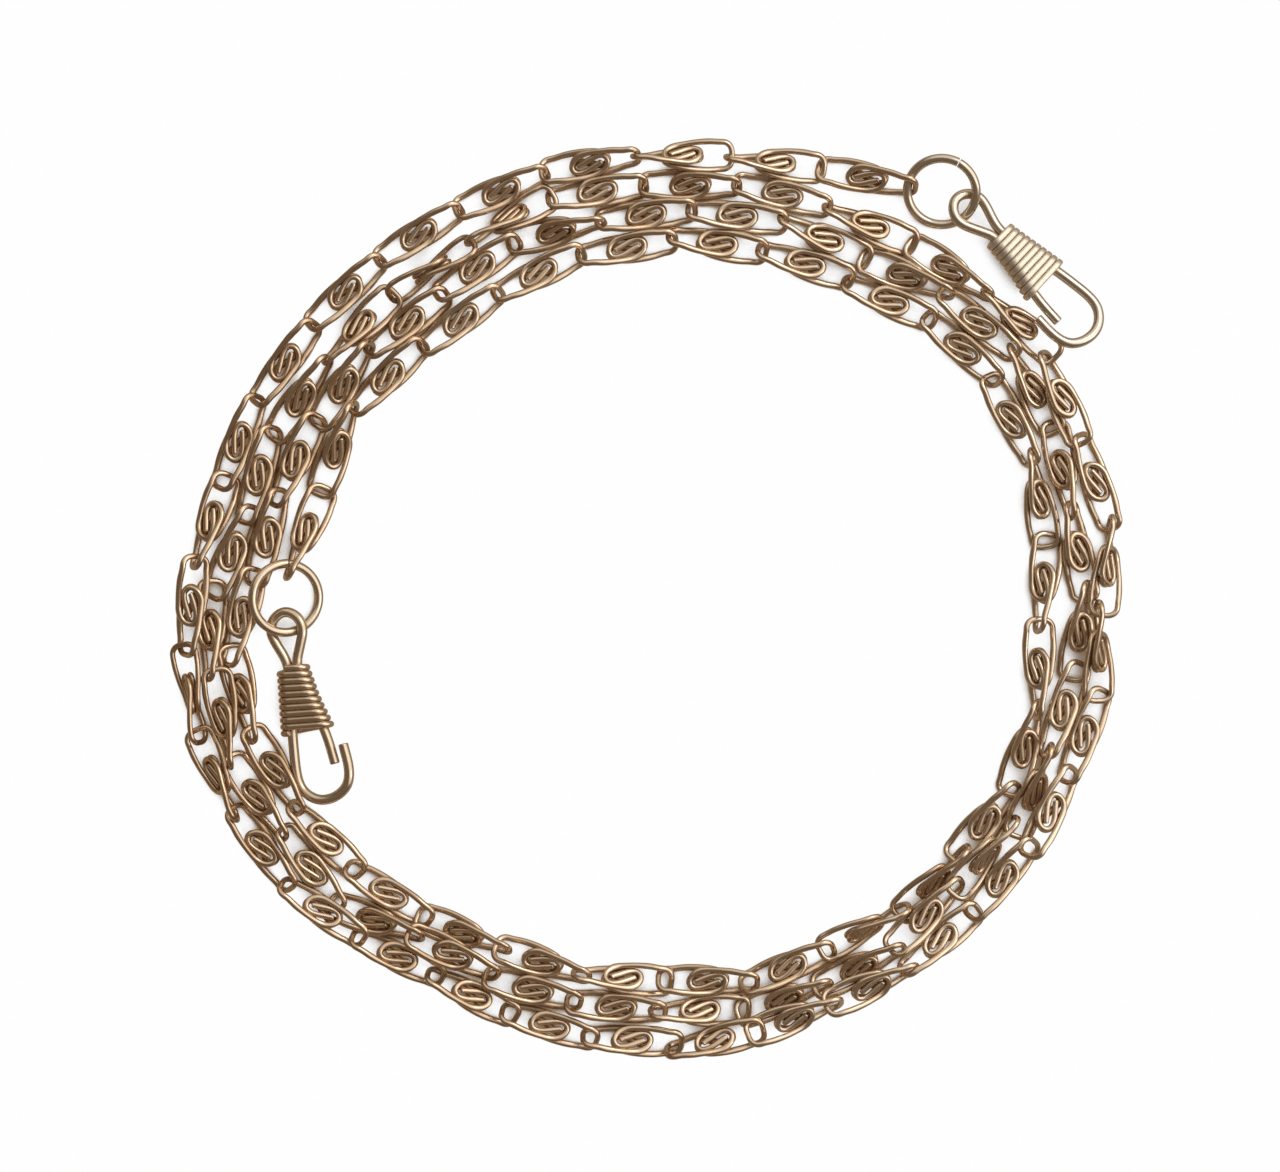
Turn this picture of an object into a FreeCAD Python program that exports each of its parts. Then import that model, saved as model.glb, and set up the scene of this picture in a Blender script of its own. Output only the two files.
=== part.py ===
import FreeCAD, Part
import math
import os

# Pocket watch chain: a plated brass scroll-link chain lying in a flat coil, with a jump ring and a
# wire-wrapped spring snap hook at each end.  Millimetres, +Z up, the coil lies on Z = 0 and the
# middle of the coil's outline is X = Y = 0.

# ---------------------------------------------------------------- driving dimensions
LINK_WIRE_D = 0.59          # round wire of every scroll link
RING_WIRE_D = 0.94          # jump ring wire
RING_MEAN_R = 3.78          # jump ring, centre to wire centre
RING_GAP = 0.12             # saw cut where the jump ring was closed
HOOK_WIRE_D = 1.08          # spring wire of the snap hooks and their tongues
BIND_WIRE_D = 0.68          # binding wire wrapped round the two legs of a hook
BIND_CLEAR = 0.09           # binding to leg wire
BIND_TURNS = 10
BIND_START, BIND_END = 6.0, 13.2    # along the hook
BIND_POINTS_PER_TURN = 16
FREE_LINKS = 10             # links at each end that have their own file
RUN_LENGTH = 8              # coil links that share a file, each a separate solid

# Equal lengths each wire is divided into; its surface is fitted through the circles between them.
LINK_SECTIONS = 96
HOOK_SECTIONS = 60
TONGUE_SECTIONS = 10
BIND_SECTIONS = 190
FINE_STEPS = 2000           # steps used to measure along a wire when placing those circles

# ---------------------------------------------------------------- wire centres
# Half of a link's wire centre (x, y, z), X along the link: from the end tucked into the upper
# scroll, round the +X eye, to the middle of the lower scroll.  The eyes are turned 45 degrees
# about X, one each way.
HALF_LINK_PATH = [
    (1.37, 0.15, 0.312), (1.22, 0.03, 0.312), (0.6, -0.24, 0.312), (-0.1, -0.54, 0.312),
    (-0.7, -0.735, 0.312), (-1.3, -0.8, 0.312), (-1.79, -0.6, 0.312), (-2, -0.15, 0.312),
    (-1.82, 0.48, 0.312), (-1.25, 0.99, 0.312), (-0.5, 1.25, 0.352), (0.4, 1.32, 0.512),
    (1.3, 1.33, 0.71), (2.3, 1.28, 0.88), (3.2, 1.18, 1.01), (4.05, 1.061, 1.061),
    (4.72, 1.025, 1.025), (5.22, 0.778, 0.778), (5.44, 0.368, 0.368), (5.45, 0, 0),
    (5.44, -0.368, -0.368), (5.22, -0.778, -0.778), (4.72, -1.025, -1.025),
    (4.05, -1.061, -1.061), (3.2, -1.18, -1.01), (2.3, -1.28, -0.88), (1.3, -1.33, -0.71),
    (0.4, -1.32, -0.512), (-0.5, -1.24, -0.352), (-1.4, -0.97, -0.312), (-1.98, -0.42, -0.312),
    (-1.9, 0.16, -0.312), (-1.35, 0.42, -0.312), (-0.65, 0.25, -0.312), (0, 0, -0.312)]
# The other half is the same, turned half a turn about Z.
LINK_PATH = HALF_LINK_PATH + [(-x, -y, z) for x, y, z in reversed(HALF_LINK_PATH[:-1])]

# Hook (x, y): short leg, eye, long leg, bend, tip.  X runs along the hook, Y across.
HOOK_PATH = [
    (8.32, 1.165), (7.28, 0.936), (5.824, 0.645), (4.472, 0.988), (3.12, 1.508),
    (1.82, 1.789), (0.676, 1.373), (0, 0.437), (0, -0.499), (0.676, -1.456),
    (1.82, -1.851), (3.12, -1.508), (4.472, -0.884), (5.824, -0.489), (7.8, -0.572),
    (10.92, -0.811), (14.248, -1.04), (16.224, -1.123), (17.992, -1.102), (19.552, -0.645),
    (20.644, 0.572), (20.925, 1.924), (20.54, 3.38), (19.552, 4.524), (18.096, 4.94),
    (16.536, 4.867), (15.08, 4.68)]
# The springy tongue that closes the hook's mouth (x, y).
TONGUE_PATH = [
    (9.1, 1.331), (10.608, 1.789), (12.896, 2.621), (15.08, 3.141), (17.16, 3.463)]
# The two sides the binding wraps (x, y): the long leg, and the short leg run on into the tongue.
LONG_LEG = HOOK_PATH[13:17]
SHORT_LEG = HOOK_PATH[2::-1] + TONGUE_PATH[:3] + [(13.936, 2.912)]

# ---------------------------------------------------------------- poses
# A pose is x, y, z, then the turn as a quaternion (w, x, y, z).
# The links, from the inner ring to the outer ring, clockwise seen from above.
LINK_POSES = [
    (-37.381, 7.223, 1.392, 0.78353, -0.26545, -0.08872, 0.55475),
    (-34.035, 16.429, 1.392, 0.78346, 0.26541, 0.08875, 0.55486),
    (-28.358, 24.35, 1.376, 0.92714, -0.00587, -0.00088, 0.37467),
    (-20.313, 30.623, 1.374, 0.94866, 0.03389, 0.00275, 0.31447),
    (-11.782, 35.751, 1.375, 0.97343, -0.0211, 0.00011, 0.22799),
    (-2.065, 38.518, 1.376, 0.99698, -0.00375, 0.0006, 0.07759),
    (7.893, 38.994, 1.372, 0.99396, -0.06661, 0.02281, -0.08423),
    (17.57, 36.768, 1.372, 0.98597, -0.05956, 0.02515, -0.15387),
    (26.778, 32.648, 1.374, 0.97906, -0.03415, 0.01616, -0.20001),
    (34.853, 27.471, 1.372, 0.93073, 0.05745, -0.04044, -0.3589),
    (40.228, 19.652, 1.37, 0.84618, 0.08132, -0.0851, -0.51973),
    (43.231, 10.955, 1.394, 0.75069, -0.16185, 0.23412, -0.59621),
    (43.82, 1.748, 1.405, 0.65006, 0.13163, -0.27178, -0.69731),
    (43.232, -7.731, 1.606, 0.67081, 0.18706, -0.24133, -0.67586),
    (41.643, -16.469, 1.362, 0.58571, -0.06959, 0.18147, -0.78688),
    (37.257, -24.569, 1.371, 0.41472, -0.01851, 0.10483, -0.9037),
    (31.616, -31.14, 1.634, 0.36979, -0.11904, 0.41886, -0.82075),
    (24.057, -36.325, 1.756, 0.2176, -0.09524, 0.48262, -0.84301),
    (15.624, -40.606, 1.375, 0.19769, -0.00057, -0.01579, -0.98014),
    (6.84, -42.079, 1.374, -0.01137, 0.00766, 0.03006, -0.99945),
    (-2.525, -41.787, 1.389, 0.02613, 0.08512, 0.25814, 0.962),
    (-11.372, -40.02, 1.367, 0.15184, -0.05287, -0.12063, 0.97959),
    (-20.035, -36.815, 1.369, 0.15336, -0.0962, -0.20585, 0.96169),
    (-28.281, -32.479, 1.371, 0.2847, 0.03596, 0.0607, 0.95602),
    (-35.238, -26.49, 1.366, 0.37363, 0.10049, 0.13039, 0.91285),
    (-40.747, -18.886, 1.371, 0.48828, -0.0683, -0.07091, 0.86712),
    (-44.445, -10.486, 1.362, 0.59363, -0.15839, -0.11939, 0.77991),
    (-44.462, -2.066, 1.372, 0.79108, -0.07285, -0.03127, 0.60655),
    (-41.646, 6.693, 1.371, 0.79035, 0.09511, 0.03995, 0.60391),
    (-38.471, 15.184, 1.372, 0.8427, -0.07493, -0.02443, 0.53258),
    (-33.275, 23.518, 1.365, 0.85322, 0.21173, 0.04967, 0.47405),
    (-26.234, 30.29, 1.374, 0.94808, -0.02453, -0.00215, 0.31707),
    (-18.527, 36.387, 1.374, 0.95589, 0.02527, 0.00156, 0.29262),
    (-9.881, 40.341, 1.391, 0.95384, 0.27307, -0.0475, 0.11559),
    (0.031, 42.169, 1.374, 0.99818, 0.02485, -0.00453, 0.05473),
    (10.056, 42.037, 1.375, 0.99746, -0.01795, 0.00563, -0.06876),
    (19.669, 39.55, 1.362, 0.96005, -0.17216, 0.08974, -0.20154),
    (28.686, 35.4, 1.374, 0.95494, 0.21794, -0.10775, -0.17023),
    (36.654, 30.293, 1.374, 0.93781, 0.02533, -0.017, -0.34581),
    (42.501, 22.982, 1.39, 0.83656, -0.19004, 0.19868, -0.4739),
    (45.886, 14.16, 1.401, 0.74292, 0.16611, -0.24658, -0.59973),
    (47.592, 5.125, 1.367, 0.75859, -0.07921, 0.11304, -0.63678),
    (47.708, -3.62, 1.373, 0.6485, -0.10484, 0.21719, -0.722),
    (45.975, -12.272, 1.368, 0.56403, 0.04281, -0.1187, -0.81605),
    (42.693, -21.149, 1.589, 0.54223, -0.17517, 0.35393, -0.74164),
    (37.29, -28.306, 1.923, 0.37132, -0.20325, 0.41635, -0.80466),
    (30.789, -34.82, 1.968, 0.36552, -0.08303, 0.08896, -0.92281),
    (23.5, -40.67, 1.367, 0.22903, 0.00526, 0.15977, -0.9602),
    (15.233, -44.059, 1.365, 0.18646, 0.01846, 0.21761, -0.95788),
    (5.972, -45.39, 1.373, 0.02569, -0.06087, -0.23298, -0.97024),
    (-3.261, -44.994, 1.376, 0.04743, -0.00033, -0.00114, 0.99887),
    (-12.417, -43.063, 1.374, 0.13065, -0.00972, -0.02527, 0.99106),
    (-21.192, -39.107, 2.093, 0.22976, 0.04408, -0.09545, 0.96755),
    (-29.669, -35.445, 1.363, 0.15307, -0.07874, -0.17199, 0.96994),
    (-36.795, -29.702, 1.374, 0.46339, 0.03333, 0.03758, 0.88473),
    (-42.684, -21.876, 1.366, 0.4544, -0.11273, -0.12167, 0.87522),
    (-46.395, -13.173, 1.998, 0.62987, -0.17976, -0.2427, 0.71557),
    (-47.856, -3.478, 1.362, 0.69624, -0.17012, -0.09468, 0.69091),
    (-45.521, 5.1, 1.368, 0.8297, 0.12294, 0.0408, 0.54298),
    (-42.582, 13.557, 1.375, 0.80241, 0.015, 0.00641, 0.59655),
    (-38.001, 22.039, 1.367, 0.85779, 0.21838, 0.04805, 0.46282),
    (-31.451, 29.766, 1.673, 0.88703, -0.25654, -0.08743, 0.3738),
    (-23.54, 36.192, 1.742, 0.71074, -0.64312, -0.20207, 0.20105),
    (-14.926, 41.743, 1.718, 0.86389, -0.43323, -0.08406, 0.24278),
    (-5.33, 44.712, 1.375, 0.99731, 0.01313, -0.00216, 0.0721),
    (4.893, 45.437, 1.367, 0.99127, 0.12688, -0.03484, -0.0086),
    (15.022, 44.408, 1.374, 0.9902, 0.03838, -0.01512, -0.13341),
    (24.648, 40.986, 1.365, 0.96094, -0.1959, 0.09526, -0.17073),
    (33.508, 36.165, 1.381, 0.92952, 0.2159, -0.13693, -0.26576),
    (41.125, 30.197, 1.551, 0.89905, -0.25301, 0.13975, -0.32889),
    (45.775, 21.988, 1.854, 0.81961, -0.13536, 0.06075, -0.55337),
    (49.528, 12.807, 1.375, 0.81007, -0.00898, 0.01047, -0.58617),
    (50.758, 3.553, 1.921, 0.61996, -0.26532, 0.2773, -0.68437),
    (49.815, -5.855, 1.693, 0.65056, -0.27546, 0.32343, -0.62951),
    (48.269, -15.135, 1.372, 0.5585, 0.02831, -0.07881, -0.82527),
    (44.468, -23.467, 2.021, 0.5096, -0.07184, -0.01433, -0.85729),
    (39.219, -30.854, 1.375, 0.41503, 0.00382, -0.01952, -0.90959),
    (32.431, -37.618, 1.367, 0.33755, 0.01214, -0.14174, -0.9305),
    (24.803, -42.607, 2.108, 0.17984, -0.08368, 0.18759, -0.96201),
    (16.364, -46.108, 2.038, 0.15742, -0.06605, 0.17962, -0.96881),
    (7.615, -48.619, 1.822, 0.1097, 0.03608, -0.20317, -0.97231),
    (-1.47, -48.623, 1.368, 0.03179, 0.03624, 0.12117, 0.99146),
    (-10.592, -47.062, 1.372, 0.15235, 0.02741, 0.06506, 0.9858),
    (-19.091, -43.704, 1.365, 0.22165, 0.08301, 0.153, 0.95946),
    (-27.298, -39.457, 1.371, 0.21588, 0.04738, 0.09242, 0.97088),
    (-35.434, -34.353, 2.547, 0.29811, 0.02896, 0.09213, 0.94963),
    (-42.211, -27.478, 1.376, 0.45495, 0.00451, 0.00527, 0.89049),
    (-47.198, -19.41, 1.632, 0.47814, -0.25564, -0.31084, 0.78065),
    (-49.957, -10.468, 1.805, 0.52705, -0.36778, -0.43221, 0.63258),
    (-49.915, -0.789, 2.339, 0.7433, -0.02611, -0.07178, 0.66459),
    (-47.79, 8.492, 1.365, 0.78978, -0.20371, -0.07473, 0.57373),
    (-44.801, 17.19, 1.373, 0.82941, 0.05351, 0.01931, 0.55573),
    (-39.685, 25.917, 1.374, 0.89349, 0.02497, 0.00584, 0.44834),
    (-33.033, 33.694, 1.373, 0.9308, 0.05785, 0.00731, 0.36084),
    (-24.97, 40.016, 1.372, 0.95927, 0.07032, 0.00228, 0.27357),
    (-15.896, 44.791, 1.371, 0.97533, 0.09983, -0.0055, 0.19679),
    (-6.125, 47.82, 1.367, 0.98365, 0.15614, -0.02848, 0.08515),
    (4.042, 48.646, 1.722, 0.94996, -0.31185, 0.01384, 0.01188),
    (14.249, 47.858, 1.524, 0.95979, -0.27187, 0.05796, -0.03907),
    (24.338, 46.271, 1.366, 0.98215, 0.15333, -0.05801, -0.09229)]
# For each end of the chain: the turn in degrees given to the jump ring about its own axis before
# it is placed, the ring's pose, the hook's pose.
CHAIN_ENDS = {
    "outer": (64.0,
              (32.517, 44.676, 2.069, 0.97644, 0.20293, -0.06839, -0.02651),
              (34.196, 43.844, 1.727, 0.10904, 0.93467, -0.33609, -0.03922)),
    "inner": (89.0,
              (-39.549, 0.027, 1.922, 0.98053, 0.03353, 0.19294, -0.01456),
              (-39.69, -1.599, 1.611, 0.748, 0.09076, -0.088, -0.65155))}

# Control points and weights of an exact unit circle as four quadratic arcs.
CIRCLE_POLES = [(1, 0), (1, 1), (0, 1), (-1, 1), (-1, 0), (-1, -1), (0, -1), (1, -1), (1, 0)]
CORNER = math.sqrt(0.5)
CIRCLE_WEIGHTS = [1, CORNER, 1, CORNER, 1, CORNER, 1, CORNER, 1]
CIRCLE_KNOTS = [0.0, 0.25, 0.5, 0.75, 1.0]
CIRCLE_MULTS = [3, 2, 2, 2, 3]

Vector = FreeCAD.Vector


# ---------------------------------------------------------------- round wire
def smooth(points, params):
    """Smooth curve through the points at the given parameters."""
    curve = Part.BSplineCurve()
    curve.interpolate(Points=points, Parameters=params)
    return curve


def running_total(points, measure):
    """Sum of measure(step) from the first point up to each point."""
    totals = [0.0]
    for a, b in zip(points[:-1], points[1:]):
        totals.append(totals[-1] + measure((b - a).Length))
    return totals


def even_stations(curve, sections):
    """Curve parameters that divide its length into equal sections."""
    start, end = curve.FirstParameter, curve.LastParameter
    fine = [start + (end - start) * k / FINE_STEPS for k in range(FINE_STEPS + 1)]
    run = running_total([curve.value(t) for t in fine], float)
    stations = []
    k = 0
    for j in range(sections + 1):
        want = run[-1] * j / sections
        while k < FINE_STEPS - 1 and run[k + 1] < want:
            k += 1
        part = (want - run[k]) / (run[k + 1] - run[k])
        stations.append(fine[k] + (fine[k + 1] - fine[k]) * min(max(part, 0.0), 1.0))
    return stations


def unit_tangent(curve, t):
    tangent = curve.tangent(t)
    # the tangent may come wrapped in a tuple
    return tangent[0] if isinstance(tangent, tuple) else tangent


def reflect(vector, normal):
    return vector - normal * (2.0 / normal.dot(normal) * normal.dot(vector))


def untwisted_sides(origins, tangents):
    """Unit vectors square to the wire that follow it without twisting, by double reflection."""
    first = tangents[0]
    ref = Vector(0, 0, 1) if abs(first.z) < 0.9 else Vector(1, 0, 0)
    sides = [(ref - first * ref.dot(first)).normalize()]
    for k in range(1, len(origins)):
        step = origins[k] - origins[k - 1]
        side = reflect(sides[-1], step)
        bend = tangents[k] - reflect(tangents[k - 1], step)
        if bend.dot(bend) > 1e-12:
            side = reflect(side, bend)
        side = side - tangents[k] * side.dot(tangents[k])
        sides.append(side.normalize())
    return sides


def tube_face(origins, tangents, radius):
    """Surface through a circle of the given radius at each station."""
    sides = untwisted_sides(origins, tangents)
    params = [float(j) for j in range(len(origins))]
    rows = []
    for across, up in CIRCLE_POLES:
        line = [o + s * (radius * across) + d.cross(s) * (radius * up)
                for o, d, s in zip(origins, tangents, sides)]
        curve = smooth(line, params)
        rows.append(curve.getPoles())
    surface = Part.BSplineSurface()
    surface.buildFromPolesMultsKnots(
        rows, CIRCLE_MULTS, curve.getMultiplicities(), CIRCLE_KNOTS, curve.getKnots(),
        False, False, 2, 3, [[w] * len(rows[0]) for w in CIRCLE_WEIGHTS])
    return surface.toShape()


def end_cap(tube, centre, diameter):
    """Flat disc on the tube's end circle at the given centre."""
    edges = [e for e in tube.Edges
             if abs(e.Length - math.pi * diameter) < 0.05 * diameter
             and (e.CenterOfMass - centre).Length < 0.1 * diameter]
    return Part.Face(Part.Wire([edges[0]]))


def wire(path, diameter, sections):
    """A round wire whose centre follows a smooth curve through the path, with flat-cut ends."""
    points = [Vector(*p) for p in path]
    centre = smooth(points, running_total(points, math.sqrt))
    stations = even_stations(centre, sections)
    origins = [centre.value(t) for t in stations]
    tangents = [unit_tangent(centre, t) for t in stations]
    tube = tube_face(origins, tangents, diameter / 2.0)
    caps = [end_cap(tube, origins[k], diameter) for k in (0, -1)]
    shell = Part.makeShell([tube] + caps)
    shell.sewShape()
    solid = Part.makeSolid(shell.Shells[0])
    if solid.Volume < 0:
        solid.reverse()
    return solid


# ---------------------------------------------------------------- pieces
def jump_ring(turn):
    gap = math.degrees(RING_GAP / RING_MEAN_R)
    ring = Part.makeTorus(RING_MEAN_R, RING_WIRE_D / 2.0, Vector(0, 0, 0), Vector(0, 0, 1),
                          -180, 180, 360 - gap)
    ring.rotate(Vector(0, 0, 0), Vector(0, 0, 1), gap / 2.0 + turn)
    return ring


def leg_y(leg, x):
    """Y of a leg's centre at x, by straight lines between its points."""
    for (xa, ya), (xb, yb) in zip(leg[:-1], leg[1:]):
        if x <= xb:
            break
    return ya + (yb - ya) * (x - xa) / (xb - xa)


def hook_binding():
    """Binding wire: each turn is two straights joined by a half circle round each leg."""
    radius = (HOOK_WIRE_D + BIND_WIRE_D) / 2.0 + BIND_CLEAR
    arc = math.pi * radius
    path = []
    for k in range(BIND_TURNS * BIND_POINTS_PER_TURN + 1):
        turn = k / BIND_POINTS_PER_TURN
        x = BIND_START + (BIND_END - BIND_START) * turn / BIND_TURNS
        long_y, short_y = leg_y(LONG_LEG, x), leg_y(SHORT_LEG, x)
        span = short_y - long_y
        along = (turn % 1.0) * 2 * (span + arc)
        if along < span:
            y, z = long_y + along, radius
        elif along < span + arc:
            angle = (along - span) / radius
            y, z = short_y + radius * math.sin(angle), radius * math.cos(angle)
        elif along < 2 * span + arc:
            y, z = short_y - (along - span - arc), -radius
        else:
            angle = (along - 2 * span - arc) / radius
            y, z = long_y - radius * math.sin(angle), -radius * math.cos(angle)
        path.append((x, y, z))
    return wire(path, BIND_WIRE_D, BIND_SECTIONS)


def place(solid, pose):
    """A copy whose placement is set to the pose, in place of the one it had."""
    x, y, z, qw, qx, qy, qz = pose
    placed = solid.copy()
    placed.Placement = FreeCAD.Placement(Vector(x, y, z), FreeCAD.Rotation(qx, qy, qz, qw))
    return placed


def save(name, shape):
    shape.exportStep("parts/" + name + ".step")


# ---------------------------------------------------------------- build
os.makedirs("parts", exist_ok=True)

link = wire(LINK_PATH, LINK_WIRE_D, LINK_SECTIONS)
hook = wire(HOOK_PATH, HOOK_WIRE_D, HOOK_SECTIONS)
tongue = wire(TONGUE_PATH, HOOK_WIRE_D, TONGUE_SECTIONS)
binding = hook_binding()

# Free links are numbered from each end of the chain inwards.
for i in range(FREE_LINKS):
    save("inner_link_%02d" % (i + 1), place(link, LINK_POSES[i]))
    save("outer_link_%02d" % (i + 1), place(link, LINK_POSES[-1 - i]))

coil_poses = LINK_POSES[FREE_LINKS:-FREE_LINKS]
for i, first in enumerate(range(0, len(coil_poses), RUN_LENGTH)):
    run_links = [place(link, pose) for pose in coil_poses[first:first + RUN_LENGTH]]
    save("coil_links_%02d" % (i + 1), Part.makeCompound(run_links))

for end, (ring_turn, ring_pose, hook_pose) in CHAIN_ENDS.items():
    save(end + "_jump_ring", place(jump_ring(ring_turn), ring_pose))
    save(end + "_hook_wire", place(hook, hook_pose))
    save(end + "_hook_binding", place(binding, hook_pose))
    save(end + "_hook_tongue", place(tongue, hook_pose))
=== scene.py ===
"""A pocket watch chain coiled in two and a half turns or so on a pale card, seen from straight above.

The card lies in the XY plane and the coil is centred near the origin.  Scroll links run from the inner end of
the coil to the outer one, and each end carries a jump ring and a spring hook.  Every piece is a skinned wire.
Wire sizes, paths and poses are in millimetres; objects, floor, lights and camera are in metres.
"""

import math

import bpy
import numpy as np
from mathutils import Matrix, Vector


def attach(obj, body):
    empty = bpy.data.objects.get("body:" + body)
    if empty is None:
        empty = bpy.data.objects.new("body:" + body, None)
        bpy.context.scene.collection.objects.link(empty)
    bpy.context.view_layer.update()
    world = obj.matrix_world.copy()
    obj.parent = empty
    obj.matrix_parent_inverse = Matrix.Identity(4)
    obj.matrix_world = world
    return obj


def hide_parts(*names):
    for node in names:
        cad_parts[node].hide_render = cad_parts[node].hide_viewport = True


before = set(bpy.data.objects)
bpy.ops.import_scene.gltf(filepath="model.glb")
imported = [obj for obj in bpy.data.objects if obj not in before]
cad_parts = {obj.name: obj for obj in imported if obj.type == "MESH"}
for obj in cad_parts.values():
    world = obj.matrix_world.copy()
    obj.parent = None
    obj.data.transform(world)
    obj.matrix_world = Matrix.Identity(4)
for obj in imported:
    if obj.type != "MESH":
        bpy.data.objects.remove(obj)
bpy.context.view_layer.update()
MM = 0.001
rng = np.random.default_rng(1907)

# ---------------------------------------------------------------- sizes
FREE_LINKS = 10            # links at each end that are pieces of their own
LINKS_PER_COIL_PIECE = 8

LINK_R = 0.295
# half width of the pressed link wire: distance from the middle of the link, half width
LINK_HALF_WIDTH = [(0, 0.37), (2.6, 0.37), (3.1, 0.345), (4.3, 0.345), (4.9, 0.32), (6.0, 0.308)]

RING_MEAN_R = 3.78
RING_WIRE_R = 0.47 + 0.03  # centre wire and the fullness added to it
RING_GAP = 0.12
RING_POINTS = 260
RING_CUT_ANGLE = {"outer": 64.0, "inner": 88.0}

TONGUE_WIRE_R = 0.54
HOOK_WIRE_R = TONGUE_WIRE_R + 0.02

BIND_R = 0.34
BIND_CLEAR = 0.09
BIND_TURNS, BIND_STEPS_PER_TURN = 10, 90
BIND_START, BIND_END = 6, 13.2
BIND_HALF = 0.492 * (BIND_END - BIND_START) / BIND_TURNS      # turns lie side by side

# Centre line of a link (x, y, z), from one wire end to the middle point.
LINK_HALF_PATH = [
    (1.37, 0.15, 0.312), (1.22, 0.03, 0.312), (0.6, -0.24, 0.312), (-0.1, -0.54, 0.312),
    (-0.7, -0.735, 0.312), (-1.3, -0.8, 0.312), (-1.79, -0.6, 0.312), (-2, -0.15, 0.312),
    (-1.82, 0.48, 0.312), (-1.25, 0.99, 0.312), (-0.5, 1.25, 0.352), (0.4, 1.32, 0.512),
    (1.3, 1.33, 0.71), (2.3, 1.28, 0.88), (3.2, 1.18, 1.01), (4.05, 1.061, 1.061),
    (4.72, 1.025, 1.025), (5.22, 0.778, 0.778), (5.44, 0.368, 0.368), (5.45, 0, 0),
    (5.44, -0.368, -0.368), (5.22, -0.778, -0.778), (4.72, -1.025, -1.025),
    (4.05, -1.061, -1.061), (3.2, -1.18, -1.01), (2.3, -1.28, -0.88), (1.3, -1.33, -0.71),
    (0.4, -1.32, -0.512), (-0.5, -1.24, -0.352), (-1.4, -0.97, -0.312),
    (-1.98, -0.42, -0.312), (-1.9, 0.16, -0.312), (-1.35, 0.42, -0.312),
    (-0.65, 0.25, -0.312), (0, 0, -0.312)]
# The other half is the same, given a half turn about Z.
LINK_PATH = LINK_HALF_PATH + [(-x, -y, z) for x, y, z in reversed(LINK_HALF_PATH[:-1])]

# Centre line of a hook (x, y): short leg, bend at x = 0, long leg, then the curl of the nose.
HOOK_PATH = [
    (8.32, 1.165), (7.28, 0.936), (5.824, 0.645), (4.472, 0.988), (3.12, 1.508),
    (1.82, 1.789), (0.676, 1.373), (0, 0.437), (0, -0.499), (0.676, -1.456),
    (1.82, -1.851), (3.12, -1.508), (4.472, -0.884), (5.824, -0.489), (7.8, -0.572),
    (10.92, -0.811), (14.248, -1.04), (16.224, -1.123), (17.992, -1.102), (19.552, -0.645),
    (20.644, 0.572), (20.925, 1.924), (20.54, 3.38), (19.552, 4.524), (18.096, 4.94),
    (16.536, 4.867), (15.08, 4.68)]
TONGUE_PATH = [(9.1, 1.331), (10.608, 1.789), (12.896, 2.621), (15.08, 3.141), (17.16, 3.463)]
# The two sides that the binding is wound over, in order of x.
LONG_LEG = HOOK_PATH[13:17]
SHORT_LEG = HOOK_PATH[2::-1] + TONGUE_PATH[:3] + [(13.936, 2.912)]

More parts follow.
